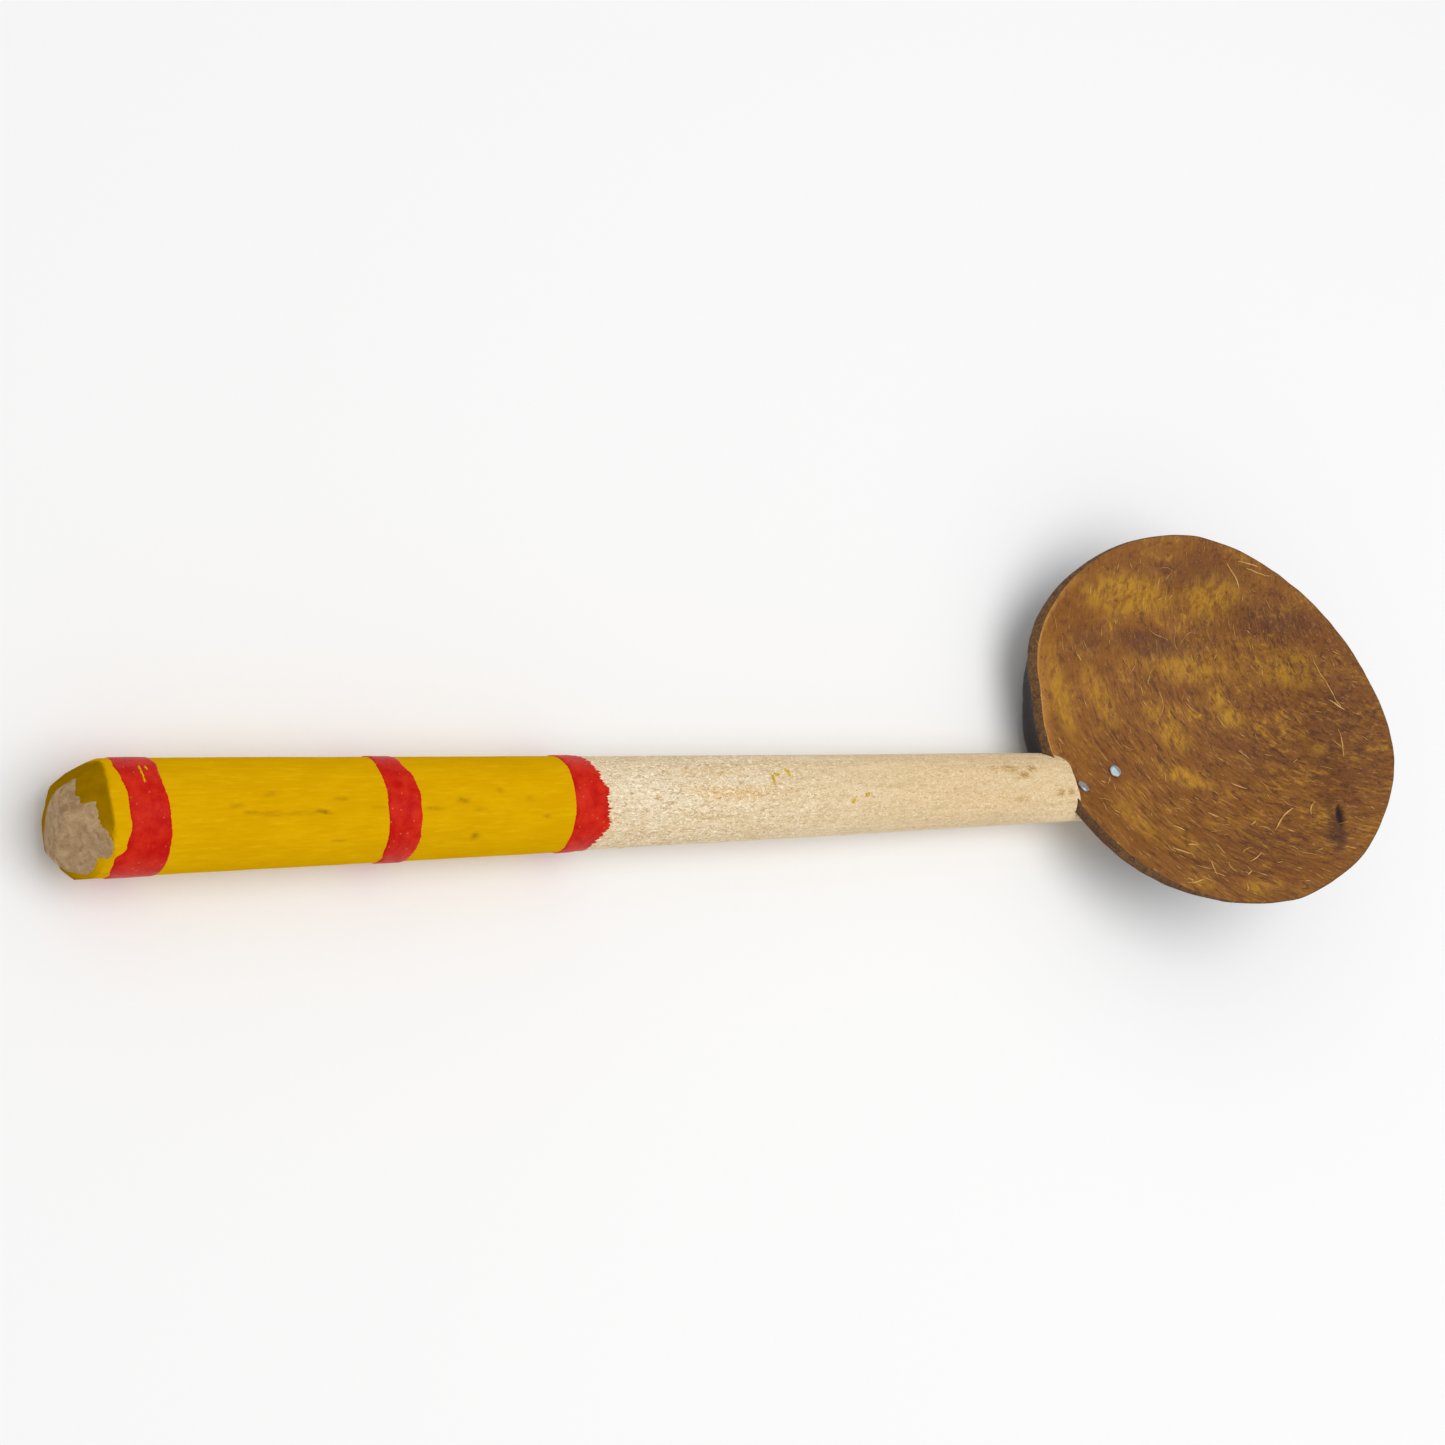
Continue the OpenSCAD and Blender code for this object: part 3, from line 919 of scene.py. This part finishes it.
def nail_profile():
    """Radius and height of the nail, from its blunt point up to the top of its head."""
    shank, half = SHANK_D / 2, HEAD_D / 2
    profile = [(shank * 0.3, -SHANK_LEN + 0.3), (shank, -SHANK_LEN + 1.6), (shank, -0.1)]
    profile += [(half * 0.93, 0.02), (half, 0.14), (half * 0.985, HEAD_EDGE)]
    for degrees in range(15, 90, 12):
        a = math.radians(degrees)
        profile.append((half * math.cos(a), HEAD_EDGE + (HEAD_H - HEAD_EDGE) * math.sin(a)))
    return np.array(profile)


def make_nail(name, direction, t, lean, steel, seed):
    """A nail with a hammered domed head, driven through the wall of the bowl."""
    n = turned("Y", lean).to_3x3() @ Vector(inward(np.array(direction), np.array(t)))
    p = wall(np.array(direction), np.array(t), np.array(SHELL_T))
    upright = n.to_track_quat("Z", "Y").to_matrix().to_4x4()
    place = BOWL @ Matrix.Translation(Vector(p) * MM) @ upright
    turns = directions(NAIL_COLUMNS)
    r, z = nail_profile().T[..., None]
    r = r * (1 + 0.035 * ripple(turns, seed, 2, 6))
    a = np.radians(turns)
    rings = np.stack([r * np.cos(a), r * np.sin(a), z + 0 * turns], -1)
    # Two flats where the hammer struck
    for degrees, depth in ((seed * 70, 0.80), (seed * 70 + 150, 0.86)):
        a = math.radians(degrees)
        slope = 0.22 * (rings[..., 0] * math.cos(a) + rings[..., 1] * math.sin(a))
        rings[..., 2] = np.minimum(rings[..., 2], HEAD_H * depth + slope)
    points, faces = closed_rings(rings, [0, 0, -SHANK_LEN], [0, 0, rings[-1, :, 2].mean()])
    nail = make_mesh(name + "_steel", points, faces, place)
    finish_piece(nail, name, "nail_steel", place, steel)


# ---------- materials ----------


class Nodes:
    """Short calls for building one material's nodes."""

    def __init__(self, name, roughness=0.5, gloss=0.2):
        self.material = bpy.data.materials.new(name)
        self.material.use_nodes = True
        self.tree = self.material.node_tree
        self.shader = self.tree.nodes["Principled BSDF"]
        self.shader.inputs["Roughness"].default_value = roughness
        self.shader.inputs["Specular IOR Level"].default_value = gloss

    def put(self, socket, value):
        if isinstance(value, bpy.types.NodeSocket):
            self.tree.links.new(value, socket)
        else:
            socket.default_value = value

    def add(self, kind, **inputs):
        """A new node, with its inputs by name, an underscore standing for a space."""
        node = self.tree.nodes.new("ShaderNode" + kind)
        for name, value in inputs.items():
            self.put(node.inputs[name.replace("_", " ")], value)
        return node

    def attribute(self, name, output="Fac"):
        node = self.add("Attribute")
        node.attribute_name = name
        return node.outputs[output]

    def mapped(self, vector, scale=(1, 1, 1), turn_z=0.0, shift=(0, 0, 0)):
        turned_by = (0, 0, math.radians(turn_z))
        node = self.add("Mapping", Vector=vector, Scale=scale, Rotation=turned_by, Location=shift)
        return node.outputs["Vector"]

    def own(self, scale=(1, 1, 1), turn_z=0.0, shift=(0, 0, 0)):
        """The place in the piece's own frame, in millimetres, turned about Z and then scaled."""
        own = self.mapped(self.attribute("own", "Vector"), turn_z=turn_z)
        return self.mapped(own, scale, shift=shift)

    def along_flow(self, scale, shift=(0, 0, 0)):
        """The place along and across the strokes inside the bowl, scaled."""
        return self.mapped(self.attribute("flow", "Vector"), scale, shift=shift)

    def noise(self, vector, scale=1.0, detail=4.0, roughness=0.55, distortion=0.0):
        node = self.add("TexNoise", Vector=vector, Scale=scale, Detail=detail)
        self.put(node.inputs["Roughness"], roughness)
        self.put(node.inputs["Distortion"], distortion)
        return node.outputs["Fac"]

    def cells(self, vector, scale=1.0):
        return self.add("TexVoronoi", Vector=vector, Scale=scale).outputs["Distance"]

    def between(self, value, low, high, to_low=0.0, to_high=1.0):
        """Value from low to high, as a share from to_low to to_high."""
        node = self.add("MapRange", Value=value, From_Min=low, From_Max=high)
        self.put(node.inputs["To Min"], to_low)
        self.put(node.inputs["To Max"], to_high)
        return node.outputs["Result"]

    def math(self, operation, a, b=0.0):
        node = self.add("Math")
        node.operation = operation
        self.put(node.inputs[0], a)
        self.put(node.inputs[1], b)
        return node.outputs[0]

    def mix(self, share_of_b, a, b):
        node = self.add("Mix")
        node.data_type = "RGBA"
        self.put(node.inputs["Factor"], share_of_b)
        self.put(node.inputs["A"], a)
        self.put(node.inputs["B"], b)
        return node.outputs["Result"]

    def lay(self, base, value, low, high, most, over):
        """The base colour with another over it, as value goes from low to high."""
        return self.mix(self.between(value, low, high, 0, most), base, over)

    def colour(self, value):
        self.put(self.shader.inputs["Base Color"], value)

    def rough(self, value):
        self.put(self.shader.inputs["Roughness"], value)

    def relief(self, height, depth_mm, strength):
        node = self.add("Bump", Height=height, Distance=depth_mm * MM, Strength=strength)
        self.put(self.shader.inputs["Normal"], node.outputs["Normal"])


def srgb(r, g, b):
    """A colour given as it looks on a screen, 0 to 255, as the shader's linear colour."""
    shares = [c / 255 for c in (r, g, b)]
    linear = [c / 12.92 if c <= 0.04045 else ((c + 0.055) / 1.055) ** 2.4 for c in shares]
    return (*linear, 1.0)


def wood_material():
    m = Nodes("bare_wood", 0.62, 0.1)
    grain = m.noise(m.own((0.05, 0.6, 0.6)), 1.0, 5, 0.6, 0.4)
    mottle = m.noise(m.own((0.3, 1, 1)), 1.6, 4, 0.75, 1.0)
    bright = m.noise(m.own((0.5, 1, 1), 0, (9, 4, 7)), 2.0, 4, 0.75, 1.2)
    pores = m.noise(m.own((0.5, 1, 1), 0, (2, 8, 3)), 2.0, 3, 0.75, 0.8)
    colour = m.mix(m.between(grain, 0.35, 0.65), srgb(229, 207, 170), srgb(215, 190, 147))
    colour = m.mix(m.math("MULTIPLY", m.attribute("pale"), 0.7), colour, srgb(230, 216, 190))
    warm = m.math("MULTIPLY", m.attribute("warm"), m.between(grain, 0.6, 0.4, 0.3, 0.8))
    colour = m.mix(warm, colour, srgb(222, 178, 114))
    coarse = m.attribute("coarse")
    shaded = m.math("MULTIPLY", coarse, m.between(mottle, 0.50, 0.60, 0, 0.85))
    colour = m.mix(shaded, colour, srgb(188, 154, 104))
    lit = m.math("MULTIPLY", coarse, m.between(bright, 0.51, 0.60, 0, 0.9))
    colour = m.mix(lit, colour, srgb(255, 242, 214))
    colour = m.lay(colour, pores, 0.60, 0.68, 0.75, srgb(160, 122, 72))
    speck = m.math("MULTIPLY", m.attribute("specks"), m.between(pores, 0.40, 0.47))
    colour = m.mix(speck, colour, srgb(168, 128, 56))
    # The grip end's bare wood: darker end grain, darkened further as painted shade, as the end faces away
    # from the light
    rings = m.noise(m.own(), 0.5, 5, 0.65, 0.8)
    end = m.mix(m.between(rings, 0.35, 0.65), srgb(186, 156, 118), srgb(150, 120, 84))
    end = m.mix(m.between(mottle, 0.55, 0.7, 0, 0.5), end, srgb(122, 90, 56))
    m.colour(m.mix(m.attribute("on_end"), colour, end))
    m.rough(m.between(mottle, 0.3, 0.7, 0.55, 0.7))
    m.relief(m.math("SUBTRACT", bright, m.math("MULTIPLY", pores, 0.6)), 0.1, 0.6)
    return m.material


def yellow_material():
    m = Nodes("yellow_paint", 0.42, 0.0)
    broad = m.noise(m.own((0.12, 0.3, 0.3)), 1, 3, 0.5)
    brush = m.noise(m.own((0.12, 1, 1)), 1.6, 4, 0.7)
    dust = m.noise(m.own((0.35, 1, 1), 0, (5, 5, 1)), 1.3, 4, 0.7)
    colour = m.mix(m.between(broad, 0.35, 0.65), srgb(218, 167, 4), srgb(212, 160, 2))
    colour = m.lay(colour, brush, 0.5, 0.7, 0.5, srgb(204, 150, 0))
    colour = m.lay(colour, brush, 0.45, 0.3, 0.5, srgb(230, 182, 20))
    colour = m.lay(colour, dust, 0.66, 0.8, 0.5, srgb(176, 124, 10))
    scuff = m.math("MULTIPLY", m.attribute("scuffs"), m.between(dust, 0.3, 0.6, 0.2, 0.8))
    colour = m.mix(scuff, colour, srgb(136, 96, 14))
    # Painted shade: the grip end's paint is darkened to olive, as the end faces away from the light
    painted_shade = m.between(m.noise(m.own(), 0.5, 4, 0.6), 0.3, 0.7, 0.85, 1)
    colour = m.mix(m.math("MULTIPLY", m.attribute("on_end"), painted_shade), colour, srgb(142, 104, 0))
    m.colour(colour)
    m.rough(m.between(brush, 0.3, 0.7, 0.36, 0.5))
    m.relief(brush, 0.05, 0.5)
    return m.material


def trace_material():
    m = Nodes("paint_trace", 0.5, 0.0)
    worn = m.noise(m.own(), 1.6, 3, 0.7)
    m.colour(m.mix(m.between(worn, 0.4, 0.6), srgb(222, 190, 88), srgb(186, 154, 44)))
    return m.material


def red_material():
    m = Nodes("red_paint", 0.42, 0.06)
    brush = m.noise(m.own((0.7, 0.35, 0.35)), 2.2, 4, 0.6)
    thin = m.noise(m.own((0.5, 0.5, 0.5)), 0.6, 5, 0.65)
    specks = m.cells(m.own(), 0.7)
    colour = m.mix(m.between(thin, 0.38, 0.62), srgb(208, 42, 20), srgb(186, 14, 6))
    colour = m.lay(colour, brush, 0.55, 0.75, 0.5, srgb(186, 26, 18))
    colour = m.mix(m.between(specks, 0.05, 0.16, 0.5, 0), colour, srgb(236, 140, 110))
    m.colour(colour)
    m.rough(m.between(brush, 0.3, 0.7, 0.34, 0.5))
    m.relief(brush, 0.05, 0.5)
    return m.material


def inside_material():
    m = Nodes("shell_inside", 0.5, 0.15)
    clouds = m.noise(m.own((0.6, 1.0, 0.5), 12), 0.13, 4, 0.6, 0.5)
    blotches = m.noise(m.own(), 0.42, 5, 0.68, 0.6)
    streaks = m.noise(m.along_flow((0.28, 0.85, 1)), 0.9, 5, 0.65, 0.8)
    strokes = m.noise(m.along_flow((0.3, 1.7, 1), (3, 9, 1)), 1.0, 4, 0.7, 0.7)
    scratches = m.noise(m.along_flow((0.28, 2.4, 1), (7, 2, 5)), 1.3, 4, 0.75, 0.6)
    grit = m.noise(m.own(), 1.5, 4, 0.8, 0.4)
    stroked = m.attribute("stroked")
    texture = m.mix(stroked, blotches, streaks)
    colour = m.mix(m.between(clouds, 0.35, 0.68), srgb(134, 84, 38), srgb(154, 103, 44))
    colour = m.lay(colour, texture, 0.49, 0.38, 0.85, srgb(100, 60, 38))
    broken = m.noise(m.own((1, 0.5, 1), 8, (4, 1, 2)), 0.5, 5, 0.65, 0.2)
    gold = m.math("MULTIPLY", m.attribute("gold"), m.between(broken, 0.40, 0.58, 0.1, 0.95))
    loose_gold = m.math("MULTIPLY", m.between(clouds, 0.48, 0.62, 0, 0.8), m.between(texture, 0.53, 0.62))
    gold = m.math("MAXIMUM", gold, loose_gold)
    colour = m.mix(gold, colour, srgb(196, 145, 42))
    dark = m.math("MULTIPLY", m.attribute("dark"), m.between(texture, 0.66, 0.4, 0.4, 1.0))
    colour = m.mix(dark, colour, srgb(98, 60, 44))
    pale = m.math("MULTIPLY", m.between(strokes, 0.58, 0.68, 0, 0.6), stroked)
    colour = m.mix(pale, colour, srgb(196, 144, 84))
    worn = m.math("MULTIPLY", m.between(strokes, 0.44, 0.34, 0, 0.75), stroked)
    colour = m.mix(worn, colour, srgb(88, 52, 30))
    colour = m.lay(colour, scratches, 0.62, 0.70, 0.65, srgb(214, 168, 116))
    colour = m.lay(colour, grit, 0.60, 0.70, 0.45, srgb(88, 52, 32))
    colour = m.lay(colour, grit, 0.38, 0.30, 0.5, srgb(206, 156, 96))
    # Painted highlight along the inner wall by the handle's rim
    bright = m.math("MULTIPLY", m.attribute("rim_painted_highlight"), m.between(blotches, 0.40, 0.56, 0.5, 1.0))
    colour = m.mix(bright, colour, srgb(220, 160, 78))
    # Painted shade: the chip's pit is coloured near black; the smear below it gets the same colour at
    # less than half strength
    colour = m.mix(m.attribute("chip"), colour, srgb(48, 36, 34))
    m.colour(colour)
    m.rough(m.between(streaks, 0.35, 0.65, 0.46, 0.62))
    m.relief(m.math("ADD", strokes, m.math("MULTIPLY", grit, 0.5)), 0.3, 0.8)
    return m.material


def cut_material():
    m = Nodes("shell_cut", 0.6, 0.1)
    grain = m.noise(m.own(), 0.9, 5, 0.75, 0.5)
    speckle = m.noise(m.own(), 2.6, 3, 0.75)
    colour = m.mix(m.between(grain, 0.38, 0.62), srgb(120, 88, 54), srgb(82, 58, 42))
    colour = m.lay(colour, speckle, 0.55, 0.7, 0.7, srgb(160, 128, 92))
    colour = m.lay(colour, speckle, 0.45, 0.3, 0.7, srgb(62, 42, 32))
    # Darker where the inside's dark patches reach the cut; at the right and near sides this is painted
    # shade
    colour = m.mix(m.attribute("dark"), colour, srgb(74, 48, 38))
    m.colour(colour)
    m.relief(grain, 0.3, 0.7)
    return m.material


def outside_material():
    m = Nodes("shell_outside", 0.36, 0.2)
    broad = m.noise(m.own(), 0.12, 4, 0.6)
    lines = m.noise(m.own((1, 1, 0.4), 30), 1.2, 5, 0.7)
    colour = m.mix(m.between(broad, 0.35, 0.7), srgb(52, 46, 50), srgb(44, 36, 36))
    colour = m.lay(colour, lines, 0.6, 0.78, 0.6, srgb(78, 58, 44))
    m.colour(colour)
    m.rough(m.between(lines, 0.3, 0.7, 0.26, 0.42))
    m.relief(lines, 0.08, 0.5)
    return m.material


def fibre_material():
    m = Nodes("coir_fibre", 0.6, 0.1)
    tone = m.noise(m.own(), 0.4, 3, 0.6)
    m.colour(m.mix(m.between(tone, 0.3, 0.7), srgb(230, 188, 112), srgb(166, 116, 56)))
    return m.material


def steel_material():
    m = Nodes("nail_steel", 0.42)
    m.shader.inputs["Metallic"].default_value = 0.7
    worn = m.noise(m.own(), 2.2, 4, 0.6)
    m.colour(m.mix(m.between(worn, 0.35, 0.7), srgb(196, 212, 216), srgb(150, 164, 168)))
    m.rough(m.between(worn, 0.3, 0.7, 0.36, 0.55))
    m.relief(worn, 0.08, 0.6)
    return m.material


# ---------- floor and light ----------

FLOOR_SIZE = 6
# The floor lies a hair below the spoon
FLOOR_Z = -0.0001
WORLD_STRENGTH = 0.62
KEY_SIZE = 1.4
KEY_POWER = 9
KEY_AT = (0.2, -0.15, 1.25)
KEY_TOWARDS = (0.05, 0, 0.02)


def make_floor():
    bpy.ops.mesh.primitive_plane_add(size=FLOOR_SIZE, location=(0, 0, FLOOR_Z))
    floor = bpy.context.object
    floor.name = "floor"
    m = Nodes("pale_floor", 0.9)
    m.colour(srgb(246, 246, 246))
    floor.data.materials.append(m.material)


def make_light():
    """A white world and one large round light above the spoon."""
    world = bpy.data.worlds.new("studio")
    world.use_nodes = True
    background = world.node_tree.nodes["Background"]
    background.inputs["Color"].default_value = (1, 1, 1, 1)
    background.inputs["Strength"].default_value = WORLD_STRENGTH
    bpy.context.scene.world = world
    data = bpy.data.lights.new("key", "AREA")
    data.shape = "DISK"
    data.size = KEY_SIZE
    data.energy = KEY_POWER
    light = bpy.data.objects.new("key", data)
    light.location = KEY_AT
    away = Vector(KEY_AT) - Vector(KEY_TOWARDS)
    light.rotation_euler = away.to_track_quat("Z", "Y").to_euler()
    bpy.context.scene.collection.objects.link(light)
    bpy.context.scene.view_settings.view_transform = "Standard"


# ---------- the spoon ----------

make_floor()
make_light()
yellow = yellow_material()
red = red_material()
steel = steel_material()
make_handle(wood_material())
make_yellow_coat(yellow)
for number, band in enumerate(BAND_EDGES):
    make_band(band, red, 60 + 20 * number)
make_flecks("paint_drips", DRIPS, 40, yellow)
make_flecks("paint_traces", TRACES, 44, trace_material())
shell_tree = make_shell(inside_material(), cut_material(), outside_material())
make_fibres(shell_tree, fibre_material())
for number, (nail, place) in enumerate(NAILS.items()):
    make_nail(nail, *place, steel, 3 + number)
